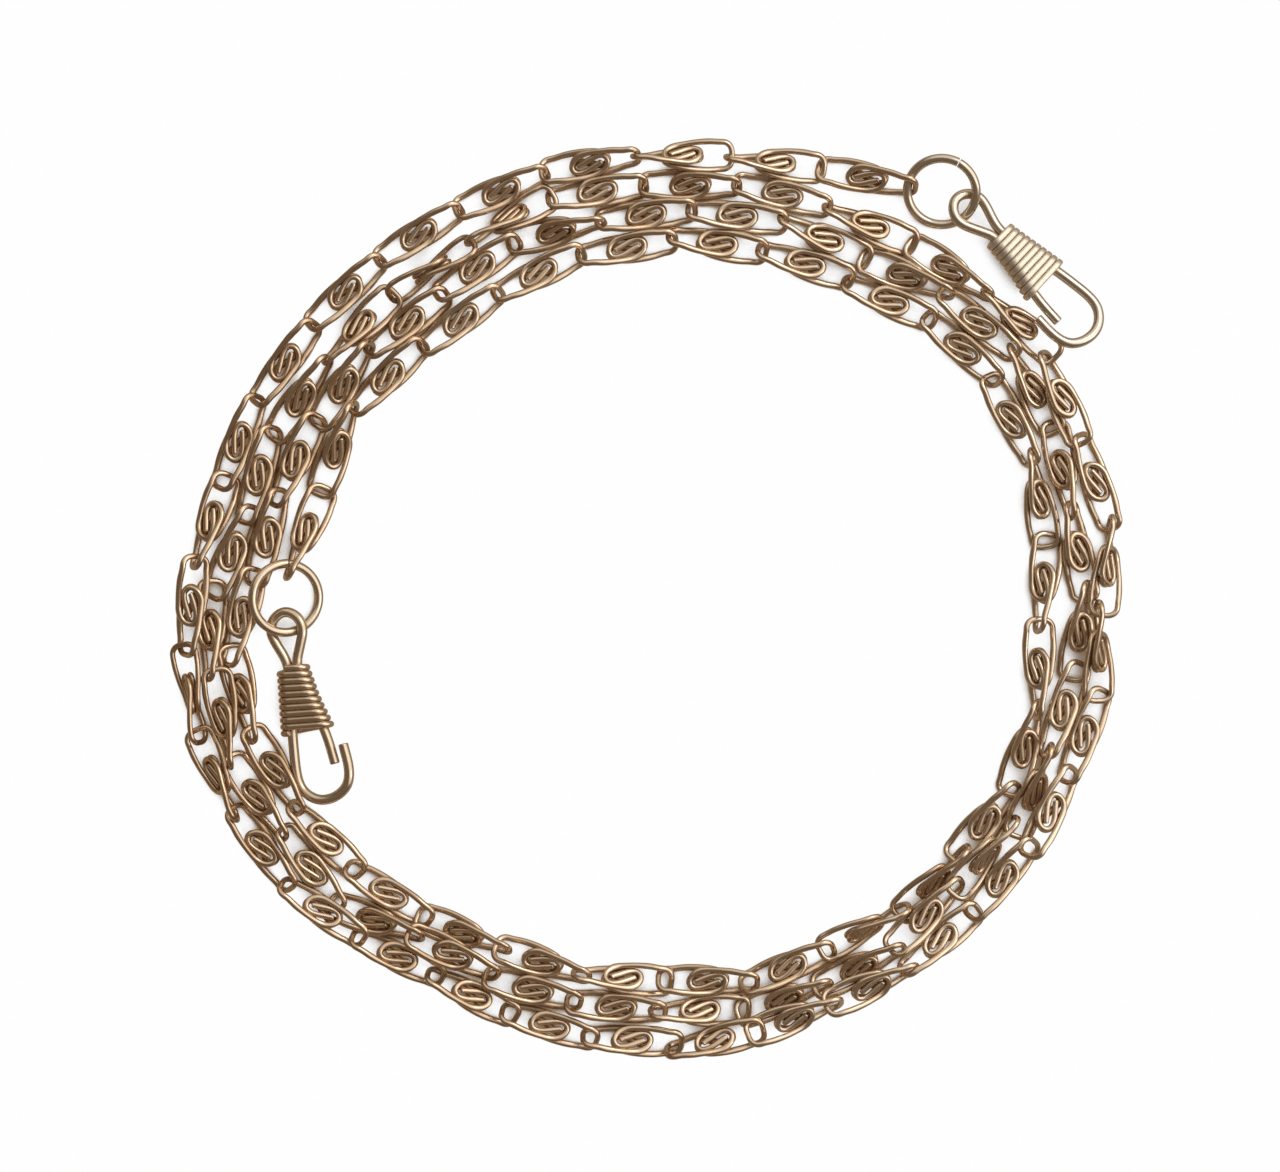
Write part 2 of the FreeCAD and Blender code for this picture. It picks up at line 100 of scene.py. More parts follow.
# A pose is a position x, y, z and a rotation quaternion w, x, y, z.
# Links, from the inner end of the coil to the outer one.
LINK_POSES = [
    (-37.381, 7.223, 1.392, 0.78353, -0.26545, -0.08872, 0.55475),
    (-34.035, 16.429, 1.392, 0.78346, 0.26541, 0.08875, 0.55486),
    (-28.358, 24.35, 1.376, 0.92714, -0.00587, -0.00088, 0.37467),
    (-20.313, 30.623, 1.374, 0.94866, 0.03389, 0.00275, 0.31447),
    (-11.782, 35.751, 1.375, 0.97343, -0.0211, 0.00011, 0.22799),
    (-2.065, 38.518, 1.376, 0.99698, -0.00375, 0.0006, 0.07759),
    (7.893, 38.994, 1.372, 0.99396, -0.06661, 0.02281, -0.08423),
    (17.57, 36.768, 1.372, 0.98597, -0.05956, 0.02515, -0.15387),
    (26.778, 32.648, 1.374, 0.97906, -0.03415, 0.01616, -0.20001),
    (34.853, 27.471, 1.372, 0.93073, 0.05745, -0.04044, -0.3589),
    (40.228, 19.652, 1.37, 0.84618, 0.08132, -0.0851, -0.51973),
    (43.231, 10.955, 1.394, 0.75069, -0.16185, 0.23412, -0.59621),
    (43.82, 1.748, 1.405, 0.65006, 0.13163, -0.27178, -0.69731),
    (43.232, -7.731, 1.606, 0.67081, 0.18706, -0.24133, -0.67586),
    (41.643, -16.469, 1.362, 0.58571, -0.06959, 0.18147, -0.78688),
    (37.257, -24.569, 1.371, 0.41472, -0.01851, 0.10483, -0.9037),
    (31.616, -31.14, 1.634, 0.36979, -0.11904, 0.41886, -0.82075),
    (24.057, -36.325, 1.756, 0.2176, -0.09524, 0.48262, -0.84301),
    (15.624, -40.606, 1.375, 0.19769, -0.00057, -0.01579, -0.98014),
    (6.84, -42.079, 1.374, -0.01137, 0.00766, 0.03006, -0.99945),
    (-2.525, -41.787, 1.389, 0.02613, 0.08512, 0.25814, 0.962),
    (-11.372, -40.02, 1.367, 0.15184, -0.05287, -0.12063, 0.97959),
    (-20.035, -36.815, 1.369, 0.15336, -0.0962, -0.20585, 0.96169),
    (-28.281, -32.479, 1.371, 0.2847, 0.03596, 0.0607, 0.95602),
    (-35.238, -26.49, 1.366, 0.37363, 0.10049, 0.13039, 0.91285),
    (-40.747, -18.886, 1.371, 0.48828, -0.0683, -0.07091, 0.86712),
    (-44.445, -10.486, 1.362, 0.59363, -0.15839, -0.11939, 0.77991),
    (-44.462, -2.066, 1.372, 0.79108, -0.07285, -0.03127, 0.60655),
    (-41.646, 6.693, 1.371, 0.79035, 0.09511, 0.03995, 0.60391),
    (-38.471, 15.184, 1.372, 0.8427, -0.07493, -0.02443, 0.53258),
    (-33.275, 23.518, 1.365, 0.85322, 0.21173, 0.04967, 0.47405),
    (-26.234, 30.29, 1.374, 0.94808, -0.02453, -0.00215, 0.31707),
    (-18.527, 36.387, 1.374, 0.95589, 0.02527, 0.00156, 0.29262),
    (-9.881, 40.341, 1.391, 0.95384, 0.27307, -0.0475, 0.11559),
    (0.031, 42.169, 1.374, 0.99818, 0.02485, -0.00453, 0.05473),
    (10.056, 42.037, 1.375, 0.99746, -0.01795, 0.00563, -0.06876),
    (19.669, 39.55, 1.362, 0.96005, -0.17216, 0.08974, -0.20154),
    (28.686, 35.4, 1.374, 0.95494, 0.21794, -0.10775, -0.17023),
    (36.654, 30.293, 1.374, 0.93781, 0.02533, -0.017, -0.34581),
    (42.501, 22.982, 1.39, 0.83656, -0.19004, 0.19868, -0.4739),
    (45.886, 14.16, 1.401, 0.74292, 0.16611, -0.24658, -0.59973),
    (47.592, 5.125, 1.367, 0.75859, -0.07921, 0.11304, -0.63678),
    (47.708, -3.62, 1.373, 0.6485, -0.10484, 0.21719, -0.722),
    (45.975, -12.272, 1.368, 0.56403, 0.04281, -0.1187, -0.81605),
    (42.693, -21.149, 1.589, 0.54223, -0.17517, 0.35393, -0.74164),
    (37.29, -28.306, 1.923, 0.37132, -0.20325, 0.41635, -0.80466),
    (30.789, -34.82, 1.968, 0.36552, -0.08303, 0.08896, -0.92281),
    (23.5, -40.67, 1.367, 0.22903, 0.00526, 0.15977, -0.9602),
    (15.233, -44.059, 1.365, 0.18646, 0.01846, 0.21761, -0.95788),
    (5.972, -45.39, 1.373, 0.02569, -0.06087, -0.23298, -0.97024),
    (-3.261, -44.994, 1.376, 0.04743, -0.00033, -0.00114, 0.99887),
    (-12.417, -43.063, 1.374, 0.13065, -0.00972, -0.02527, 0.99106),
    (-21.192, -39.107, 2.093, 0.22976, 0.04408, -0.09545, 0.96755),
    (-29.669, -35.445, 1.363, 0.15307, -0.07874, -0.17199, 0.96994),
    (-36.795, -29.702, 1.374, 0.46339, 0.03333, 0.03758, 0.88473),
    (-42.684, -21.876, 1.366, 0.4544, -0.11273, -0.12167, 0.87522),
    (-46.395, -13.173, 1.998, 0.62987, -0.17976, -0.2427, 0.71557),
    (-47.856, -3.478, 1.362, 0.69624, -0.17012, -0.09468, 0.69091),
    (-45.521, 5.1, 1.368, 0.8297, 0.12294, 0.0408, 0.54298),
    (-42.582, 13.557, 1.375, 0.80241, 0.015, 0.00641, 0.59655),
    (-38.001, 22.039, 1.367, 0.85779, 0.21838, 0.04805, 0.46282),
    (-31.451, 29.766, 1.673, 0.88703, -0.25654, -0.08743, 0.3738),
    (-23.54, 36.192, 1.742, 0.71074, -0.64312, -0.20207, 0.20105),
    (-14.926, 41.743, 1.718, 0.86389, -0.43323, -0.08406, 0.24278),
    (-5.33, 44.712, 1.375, 0.99731, 0.01313, -0.00216, 0.0721),
    (4.893, 45.437, 1.367, 0.99127, 0.12688, -0.03484, -0.0086),
    (15.022, 44.408, 1.374, 0.9902, 0.03838, -0.01512, -0.13341),
    (24.648, 40.986, 1.365, 0.96094, -0.1959, 0.09526, -0.17073),
    (33.508, 36.165, 1.381, 0.92952, 0.2159, -0.13693, -0.26576),
    (41.125, 30.197, 1.551, 0.89905, -0.25301, 0.13975, -0.32889),
    (45.775, 21.988, 1.854, 0.81961, -0.13536, 0.06075, -0.55337),
    (49.528, 12.807, 1.375, 0.81007, -0.00898, 0.01047, -0.58617),
    (50.758, 3.553, 1.921, 0.61996, -0.26532, 0.2773, -0.68437),
    (49.815, -5.855, 1.693, 0.65056, -0.27546, 0.32343, -0.62951),
    (48.269, -15.135, 1.372, 0.5585, 0.02831, -0.07881, -0.82527),
    (44.468, -23.467, 2.021, 0.5096, -0.07184, -0.01433, -0.85729),
    (39.219, -30.854, 1.375, 0.41503, 0.00382, -0.01952, -0.90959),
    (32.431, -37.618, 1.367, 0.33755, 0.01214, -0.14174, -0.9305),
    (24.803, -42.607, 2.108, 0.17984, -0.08368, 0.18759, -0.96201),
    (16.364, -46.108, 2.038, 0.15742, -0.06605, 0.17962, -0.96881),
    (7.615, -48.619, 1.822, 0.1097, 0.03608, -0.20317, -0.97231),
    (-1.47, -48.623, 1.368, 0.03179, 0.03624, 0.12117, 0.99146),
    (-10.592, -47.062, 1.372, 0.15235, 0.02741, 0.06506, 0.9858),
    (-19.091, -43.704, 1.365, 0.22165, 0.08301, 0.153, 0.95946),
    (-27.298, -39.457, 1.371, 0.21588, 0.04738, 0.09242, 0.97088),
    (-35.434, -34.353, 2.547, 0.29811, 0.02896, 0.09213, 0.94963),
    (-42.211, -27.478, 1.376, 0.45495, 0.00451, 0.00527, 0.89049),
    (-47.198, -19.41, 1.632, 0.47814, -0.25564, -0.31084, 0.78065),
    (-49.957, -10.468, 1.805, 0.52705, -0.36778, -0.43221, 0.63258),
    (-49.915, -0.789, 2.339, 0.7433, -0.02611, -0.07178, 0.66459),
    (-47.79, 8.492, 1.365, 0.78978, -0.20371, -0.07473, 0.57373),
    (-44.801, 17.19, 1.373, 0.82941, 0.05351, 0.01931, 0.55573),
    (-39.685, 25.917, 1.374, 0.89349, 0.02497, 0.00584, 0.44834),
    (-33.033, 33.694, 1.373, 0.9308, 0.05785, 0.00731, 0.36084),
    (-24.97, 40.016, 1.372, 0.95927, 0.07032, 0.00228, 0.27357),
    (-15.896, 44.791, 1.371, 0.97533, 0.09983, -0.0055, 0.19679),
    (-6.125, 47.82, 1.367, 0.98365, 0.15614, -0.02848, 0.08515),
    (4.042, 48.646, 1.722, 0.94996, -0.31185, 0.01384, 0.01188),
    (14.249, 47.858, 1.524, 0.95979, -0.27187, 0.05796, -0.03907),
    (24.338, 46.271, 1.366, 0.98215, 0.15333, -0.05801, -0.09229)]
RING_POSES = {
    "outer": (32.517, 44.676, 2.069, 0.97644, 0.20293, -0.06839, -0.02651),
    "inner": (-39.549, 0.027, 1.922, 0.98053, 0.03353, 0.19294, -0.01456)}
HOOK_POSES = {
    "outer": (34.196, 43.844, 1.727, 0.10904, 0.93467, -0.33609, -0.03922),
    "inner": (-39.69, -1.599, 1.611, 0.748, 0.09076, -0.088, -0.65155)}


# ---------------------------------------------------------------- curves and wire
def running_length(path):
    return np.r_[0, np.cumsum(np.linalg.norm(np.diff(path, axis=0), axis=1))]


def resample(path, run, at):
    return np.stack([np.interp(at, run, path[:, axis]) for axis in range(3)], 1)


def unit_rows(vectors):
    return vectors / np.linalg.norm(vectors, axis=1)[:, None]


def spline(points, count):
    """Evenly spaced points on a smooth cubic (centripetal, not-a-knot) through the given ones."""
    knots = np.array([tuple(p) + (0.0,) * (3 - len(p)) for p in points], float)
    chords = np.linalg.norm(np.diff(knots, axis=0), axis=1)
    t = np.r_[0, np.cumsum(np.sqrt(chords))]
    n, h = len(t), np.diff(t)
    system, target = np.zeros((n, n)), np.zeros((n, 3))
    for i in range(1, n - 1):
        system[i, i - 1:i + 2] = h[i - 1], 2 * (h[i - 1] + h[i]), h[i]
        target[i] = 6 * ((knots[i + 1] - knots[i]) / h[i] - (knots[i] - knots[i - 1]) / h[i - 1])
    system[0, :3] = h[1], -(h[0] + h[1]), h[0]
    system[-1, -3:] = h[-1], -(h[-1] + h[-2]), h[-2]
    bend = np.linalg.solve(system, target)      # second derivative at each knot

    fine = np.linspace(0, t[-1], max(1500, 12 * n))
    k = np.clip(np.searchsorted(t, fine, side="right") - 1, 0, n - 2)
    d, span = (fine - t[k])[:, None], h[k][:, None]
    slope = (knots[k + 1] - knots[k]) / span - span * (2 * bend[k] + bend[k + 1]) / 6
    path = (knots[k] + d * slope + d ** 2 * bend[k] / 2
            + d ** 3 * (bend[k + 1] - bend[k]) / (6 * span))
    run = running_length(path)
    return resample(path, run, np.linspace(0, run[-1], count))


def wire_frames(path):
    """Directions along and across the wire that don't spin about it."""
    along = unit_rows(np.gradient(path, axis=0))
    up = np.zeros_like(path)
    start = np.array([0, 0, 1.0]) if abs(along[0, 2]) < 0.9 else np.array([1.0, 0, 0])
    up[0] = start - along[0] * start.dot(along[0])
    up[0] /= np.linalg.norm(up[0])
    for i in range(1, len(path)):
        carried = up[i - 1] - along[i] * up[i - 1].dot(along[i])
        up[i] = carried / np.linalg.norm(carried)
    return along, up, np.cross(along, up)


def tube(path, radius, sides, end_round, end_flat, wobble=0.0, seed=0, section=None):
    """Closed wire skin along path: vertices, quads, triangles, and each vertex's place along and around.

    The ends are rounded over end_round and finish in a flat of end_flat times the radius.
    section, for wire that isn't round: (axis, half size towards the axis, half size across it,
    superellipse power); the half sizes may change along the path.
    """
    run = running_length(path)
    length = run[-1]
    # extra rings close to each end for the rounded edge
    extra = end_round * (1 - np.cos(np.linspace(0, math.pi / 2, 6)))
    middle = run[(run > end_round) & (run < length - end_round)]
    at = np.unique(np.round(np.r_[middle, extra, length - extra], 6))
    centres = resample(path, run, at)
    along, up, side = wire_frames(centres)
    tall = broad = np.ones(len(at))
    power = 2.0
    if section:
        axis, tall, broad, power = section
        axis = np.array(axis, float)
        up = unit_rows(axis - along * (along @ axis)[:, None])
        side = np.cross(along, up)
        tall, broad = (np.interp(at, run, np.broadcast_to(half, len(run))) / radius
                       for half in (tall, broad))

    radii = np.full(len(at), float(radius))
    if wobble:
        phases = np.random.default_rng(seed).uniform(0, 6.28, 4)
        wave = sum(np.sin(at * f + a) for f, a in zip((1.3, 2.9, 5.3, 8.7), phases)) / 4
        radii *= 1 + wobble * (wave - 0.6)
    to_end = np.minimum(at, length - at)
    near_end = to_end < end_round
    k = 1 - to_end[near_end] / end_round
    radii[near_end] *= end_flat + (1 - end_flat) * np.sqrt(np.clip(1 - k * k, 0, 1))

    angles = np.linspace(0, 2 * math.pi, sides, endpoint=False)
    cos, sin = (np.sign(c) * np.abs(c) ** (2 / power) for c in (np.cos(angles), np.sin(angles)))
    ring = (cos[None, :, None] * (up * tall[:, None])[:, None, :]
            + sin[None, :, None] * (side * broad[:, None])[:, None, :])
    skin = (centres[:, None, :] + ring * radii[:, None, None]).reshape(-1, 3)
    verts = np.r_[skin, [centres[0]], [centres[-1]]]

    n = len(at)
    i, j = np.meshgrid(np.arange(n - 1), np.arange(sides), indexing="ij")
    after = (j + 1) % sides
    quads = np.stack([i * sides + j, i * sides + after,
                      (i + 1) * sides + after, (i + 1) * sides + j], -1).reshape(-1, 4)
    j = np.arange(sides)
    after = (j + 1) % sides
    last = (n - 1) * sides
    caps = np.r_[np.stack([np.full(sides, n * sides), after, j], 1),
                 np.stack([np.full(sides, n * sides + 1), last + j, last + after], 1)]
    place_along = np.r_[np.repeat(at, sides), 0, length]
    place_around = np.r_[np.tile(angles / (2 * math.pi), n), 0, 0]
    return verts, quads, caps, place_along, place_around


def posed(pose, verts):
    x, y, z, w, i, j, k = pose
    turn = np.array([
        [1 - 2 * (j * j + k * k), 2 * (i * j - w * k), 2 * (i * k + w * j)],
        [2 * (i * j + w * k), 1 - 2 * (i * i + k * k), 2 * (j * k - w * i)],
        [2 * (i * k - w * j), 2 * (j * k + w * i), 1 - 2 * (i * i + j * j)]])
    return verts @ turn.T + np.array([x, y, z])


def piece(name, wires, material, body, cad_node):
    """One object out of several wires.  wires: (tube result, pose, tone between 0 and 1)."""
    points, faces, base = [], [], 0
    values = {"along": [], "around": [], "tone": []}
    for (verts, quads, caps, along, around), pose, tone in wires:
        points.append(posed(pose, verts) * MM)
        faces += (quads + base).tolist() + (caps + base).tolist()
        values["along"].append(along)
        values["around"].append(around)
        values["tone"].append(np.full(len(verts), tone))
        base += len(verts)
    mesh = bpy.data.meshes.new(name)
    mesh.from_pydata(np.concatenate(points).tolist(), [], faces)
    for label, data in values.items():
        attribute = mesh.attributes.new(label, "FLOAT", "POINT")
        attribute.data.foreach_set("value", np.concatenate(data).astype(np.float32))
    mesh.polygons.foreach_set("use_smooth", [True] * len(mesh.polygons))
    mesh.update()
    mesh.materials.append(material)
    ob = bpy.data.objects.new(name, mesh)
    bpy.context.scene.collection.objects.link(ob)
    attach(ob, body)
    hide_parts(cad_node)


# ---------------------------------------------------------------- shader nodes
class Graph:
    """Adds nodes to one tree.  An input may be given a value or another node's output."""

    def __init__(self, tree):
        self.tree = tree

    def feed(self, socket, value):
        if isinstance(value, bpy.types.NodeSocket):
            self.tree.links.new(value, socket)
        else:
            socket.default_value = value

    def add(self, kind, inputs=None, **settings):
        node = self.tree.nodes.new(kind)
        for key, value in settings.items():
            setattr(node, key, value)
        for key, value in (inputs or {}).items():
            self.feed(node.inputs[key], value)
        return node

    def calc(self, operation, a, b, clamp=False):
        node = self.add("ShaderNodeMath", {0: a, 1: b}, operation=operation, use_clamp=clamp)
        return node.outputs[0]

    def vector_calc(self, operation, inputs):
        return self.add("ShaderNodeVectorMath", inputs, operation=operation).outputs

    def noise(self, vector, scale, detail, roughness=0.5):
        inputs = {"Scale": scale, "Detail": detail, "Roughness": roughness, "Vector": vector}
        return self.add("ShaderNodeTexNoise", inputs).outputs["Fac"]

    def ramp(self, factor, stops):
        node = self.add("ShaderNodeValToRGB", {0: factor})
        elements = node.color_ramp.elements
        for element, (position, colour) in zip(elements, (stops[0], stops[-1])):
            element.position, element.color = position, (*colour, 1)
        for position, colour in stops[1:-1]:
            elements.new(position).color = (*colour, 1)
        return node.outputs[0]

    def mix(self, factor, a, b):
        node = self.add("ShaderNodeMix", data_type="RGBA")
        self.feed(node.inputs["Factor"], factor)
        sockets = [s for s in node.inputs if s.type == "RGBA"]
        for socket, colour in zip(sockets, (a, b)):
            self.feed(socket, (*colour, 1) if isinstance(colour, tuple) else colour)
        return next(s for s in node.outputs if s.type == "RGBA")

    def smoothstep(self, value, start, full):
        inputs = {"Value": value, "From Min": start, "From Max": full}
        return self.add("ShaderNodeMapRange", inputs, interpolation_type="SMOOTHSTEP").outputs[0]

    def occlusion(self, samples, **inputs):
        node = self.add("ShaderNodeAmbientOcclusion", inputs, samples=samples)
        return node.outputs["AO"]


def new_material(name):
    material = bpy.data.materials.new(name)
    material.use_nodes = True
    material.node_tree.nodes.clear()
    return material, Graph(material.node_tree)


def scaled(colour, factors):
    return tuple(min(1, c * f) for c, f in zip(colour, factors))


# ---------------------------------------------------------------- plated wire
def plate(name, bright, mid, deep, roughness, lines, tuck_in=1.0):
    """Polished thin plate over brass: warm tone that shifts from link to link and along the wire,
    brown tarnish and painted shade between neighbouring wires (tuck_in is their strength), a painted
    highlight that makes crests facing up paler, fine lines left by the wire die (lines is how closely they
    lie round the wire), and small pits."""
    material, graph = new_material(name)
    calc = graph.calc
    place = graph.add("ShaderNodeTexCoord").outputs["Object"]
    along, around, tone = (graph.add("ShaderNodeAttribute", attribute_name=label).outputs["Fac"]
                           for label in ("along", "around", "tone"))

    # body colour, three parts patches to two parts tone of the wire
    patch = graph.noise(place, scale=330, detail=3, roughness=0.55)
    fine = graph.noise(place, scale=2600, detail=4, roughness=0.6)
    blend = calc("ADD", calc("MULTIPLY", patch, 0.6), calc("MULTIPLY", tone, 0.4))
    body = graph.ramp(blend, [(0.22, deep), (0.5, mid), (0.78, bright)])

    # tarnish and painted shade gather where the wire is shut in, unevenly by the fine noise
    tucked = calc("SUBTRACT", 1.0, graph.occlusion(samples=12, Distance=0.0013))
    tucked = calc("POWER", tucked, 1.35)
    uneven = calc("ADD", 0.95, calc("MULTIPLY", fine, 0.7))
    tarnish_and_shade = calc("MULTIPLY", tucked, calc("MULTIPLY", uneven, tuck_in), clamp=True)
    tinted = graph.mix(tarnish_and_shade, body, scaled(deep, (0.60, 0.49, 0.35)))

    # painted highlight: crests that face up are made paler, by 0.35 at most; the power keeps them narrow
    normal = graph.add("ShaderNodeNewGeometry").outputs["Normal"]
    facing_up = graph.add("ShaderNodeSeparateXYZ", {0: normal}).outputs["Z"]
    crest_highlight = calc("POWER", calc("MAXIMUM", facing_up, 0.0), 6.0)
    crest_highlight = calc("MULTIPLY", crest_highlight, calc("SUBTRACT", 1.0, tarnish_and_shade), clamp=True)
    highlight_tint = scaled(bright, (1.04, 1.07, 1.12))
    colour = graph.mix(calc("MULTIPLY", crest_highlight, 0.35), tinted, highlight_tint)

    # where tarnish and painted shade are full the plate is a dull film: 0.70 less metallic and 0.22 rougher
    metallic = calc("SUBTRACT", 1.0, calc("MULTIPLY", tarnish_and_shade, 0.70), clamp=True)
    grain = calc("MULTIPLY", calc("SUBTRACT", fine, 0.5), 0.16)
    grained = calc("ADD", roughness, grain)
    dulled = calc("ADD", grained, calc("MULTIPLY", tarnish_and_shade, 0.22), clamp=True)

    # drawing lines: noise stretched along the wire and closed round it; then pits
    stretched = calc("MULTIPLY", along, 0.35)
    angle = calc("MULTIPLY", around, 2 * math.pi)
    # sine and cosine read only their first input; 0.5 is the node's own value for the second
    across = calc("MULTIPLY", calc("COSINE", angle, 0.5), lines)
    upward = calc("MULTIPLY", calc("SINE", angle, 0.5), lines)
    vector = graph.add("ShaderNodeCombineXYZ", {0: stretched, 1: across, 2: upward})
    streak = graph.noise(vector.outputs[0], scale=1.6, detail=3, roughness=0.6)
    pits = graph.noise(place, scale=5200, detail=2)
    height = calc("ADD", calc("MULTIPLY", streak, 0.7), calc("MULTIPLY", pits, 0.3))
    bump = graph.add("ShaderNodeBump", {"Strength": 0.22, "Distance": 0.00004, "Height": height})

    bsdf = graph.add("ShaderNodeBsdfPrincipled", {
        "Base Color": colour, "Metallic": metallic, "Roughness": dulled,
        "Normal": bump.outputs[0]})
    graph.add("ShaderNodeOutputMaterial", {0: bsdf.outputs[0]})
    return material


link_plate = plate(
    "scroll_link_plate", bright=(0.94, 0.78, 0.61), mid=(0.86, 0.665, 0.48),
    deep=(0.68, 0.475, 0.30), roughness=0.15, lines=3.0)
fitting_plate = plate(
    "fitting_plate", bright=(0.96, 0.87, 0.75), mid=(0.91, 0.79, 0.65),
    deep=(0.82, 0.67, 0.51), roughness=0.19, lines=5.0)
wrapping_plate = plate(
    "wrapping_plate", bright=(0.98, 0.90, 0.78), mid=(0.95, 0.86, 0.73),
    deep=(0.90, 0.79, 0.65), roughness=0.44, lines=6.0, tuck_in=0.45)
# the inner hook is more worn: browner plate and a wrapping that shows its separate turns
worn_fitting_plate = plate(
    "worn_fitting_plate", bright=(0.92, 0.79, 0.63), mid=(0.84, 0.69, 0.52),
    deep=(0.70, 0.53, 0.37), roughness=0.17, lines=5.0)
worn_wrapping_plate = plate(
    "worn_wrapping_plate", bright=(0.92, 0.77, 0.60), mid=(0.82, 0.65, 0.47),
    deep=(0.68, 0.49, 0.33), roughness=0.16, lines=6.0)


# ---------------------------------------------------------------- links
def link_half_widths(curve):
    """Half width of the wire at each point of a link.

    It is pressed a little flat: broad on the straight legs and wherever the scroll leaves it room,
    so that neighbouring turns close up, and nearly round again at the two ends of the link.
    """
    widths = np.interp(np.abs(curve[:, 0]), *zip(*LINK_HALF_WIDTH))
    gap = np.linalg.norm(curve[:, None] - curve[None], axis=2)
    order = np.arange(len(curve))
    step = np.linalg.norm(curve[1] - curve[0])
    # wire close by along its own length, or at another height, is no neighbour
    far = 9.0
    gap[np.abs(order[:, None] - order[None]) * step < 1.5] = far
    gap[np.abs(curve[:, None, 2] - curve[None, :, 2]) > 0.45] = far
    room = np.clip(gap.min(1) / 2 - 0.002, 0.30, 1.0)
    room = np.array([room[max(0, i - 4):i + 5].min() for i in order])
    window = np.hanning(11)[1:-1]
    padded = np.pad(np.minimum(widths, room), 4, mode="edge")
    return np.convolve(padded, window / window.sum(), "valid")


link_curve = spline(LINK_PATH, 260)
link_section = ((0, 0, 1), LINK_R, link_half_widths(link_curve), 2.15)
link_tube = tube(link_curve, LINK_R, sides=14, end_round=0.14, end_flat=0.5, section=link_section)
link_count = len(LINK_POSES)
# the links are browner towards the -X side of the coil, and every link is a little different
link_x = np.array([pose[0] for pose in LINK_POSES])
tones = np.clip(rng.uniform(0.15, 0.85, link_count) + 0.45 * link_x / 50, 0, 1)


def link_piece(name, body, indices):
    wires = [(link_tube, LINK_POSES[k], tones[k]) for k in indices]
    piece(name + "_wire", wires, link_plate, body, name)


for i in range(FREE_LINKS):
    for end, k in (("inner", i), ("outer", link_count - 1 - i)):
        name = "%s_link_%02d" % (end, i + 1)
        link_piece(name, name, [k])
coil_end = link_count - FREE_LINKS
for number, first in enumerate(range(FREE_LINKS, coil_end, LINKS_PER_COIL_PIECE), 1):
    last = min(first + LINKS_PER_COIL_PIECE, coil_end)
    link_piece("coil_links_%02d" % number, "coil", range(first, last))


# ---------------------------------------------------------------- rings and hooks
def ring_curve(cut_angle):
    half = RING_GAP / RING_MEAN_R / 2
    a = np.linspace(half, 2 * math.pi - half, RING_POINTS) + math.radians(cut_angle)
    curve = np.stack([RING_MEAN_R * np.cos(a), RING_MEAN_R * np.sin(a), np.zeros_like(a)], 1)
    # the two cut ends don't meet quite true
    order = np.arange(RING_POINTS)
    near_cut = np.exp(-np.minimum(order, RING_POINTS - 1 - order) / 7.0)
    first_half = order < RING_POINTS // 2
    curve[:, 2] += 0.05 * near_cut * np.where(first_half, 1, -1)
    curve[:, :2] *= (1 + 0.010 * near_cut * np.where(first_half, 1, 0))[:, None]
    return curve


def binding_curve():
    """Flattened helix round both legs: two straight runs and two half circles to a turn."""
    r = TONGUE_WIRE_R + BIND_R + BIND_CLEAR
    count = BIND_TURNS * BIND_STEPS_PER_TURN
    curve = []
    for k in range(count + 1):
        turns = BIND_TURNS * k / count
        x = BIND_START + (BIND_END - BIND_START) * turns / BIND_TURNS
        low, high = (np.interp(x, *zip(*leg)) for leg in (LONG_LEG, SHORT_LEG))
        width = high - low
        s = (turns % 1.0) * (2 * width + 2 * math.pi * r)
        if s < width:
            y, z = low + s, r
        elif s < width + math.pi * r:
            angle = (s - width) / r
            y, z = high + r * math.sin(angle), r * math.cos(angle)
        elif s < 2 * width + math.pi * r:
            y, z = high - (s - width - math.pi * r), -r
        else:
            angle = (s - 2 * width - math.pi * r) / r
            y, z = low - r * math.sin(angle), -r * math.cos(angle)
        curve.append((x, y, z))
    return np.array(curve)


hook_curve = spline(HOOK_PATH, 300)
tongue_curve = spline(TONGUE_PATH, 90)
bind_curve = binding_curve()


def round_wire(curve, radius, seed, end_round=0.16, end_flat=0.7):
    return tube(curve, radius, 28, end_round, end_flat, wobble=0.006, seed=seed)


def fittings(end, seed, metal, wrap, bind_power):
    """Jump ring and hook of one end; a higher bind_power makes the binding wire squarer."""
    ring = round_wire(ring_curve(RING_CUT_ANGLE[end]), RING_WIRE_R, 7 + seed, 0.05, 0.9)
    hook = round_wire(hook_curve, HOOK_WIRE_R, 17 + seed)
    binding = tube(bind_curve, BIND_R, sides=20, end_round=0.1, end_flat=0.7,
                   section=((1, 0, 0), BIND_HALF, BIND_R, bind_power))
    tongue = round_wire(tongue_curve, TONGUE_WIRE_R, 37 + seed)
    ring_pose, hook_pose = RING_POSES[end], HOOK_POSES[end]
    # object, wire, pose, tone, material, body, CAD node
    for name, wire, pose, tone, material, body, cad_node in (
            ("_jump_ring_wire", ring, ring_pose, 0.6, metal, "_jump_ring", "_jump_ring"),
            ("_hook_spring_wire", hook, hook_pose, 0.55, metal, "_hook", "_hook_wire"),
            ("_hook_wrapping", binding, hook_pose, 0.7, wrap, "_hook", "_hook_binding"),
            ("_hook_spring_tongue", tongue, hook_pose, 0.5, metal, "_tongue", "_hook_tongue")):
        piece(end + name, [(wire, pose, tone)], material, end + body, end + cad_node)


fittings("outer", 0, fitting_plate, wrapping_plate, bind_power=3.2)
fittings("inner", 1, worn_fitting_plate, worn_wrapping_plate, bind_power=2.0)


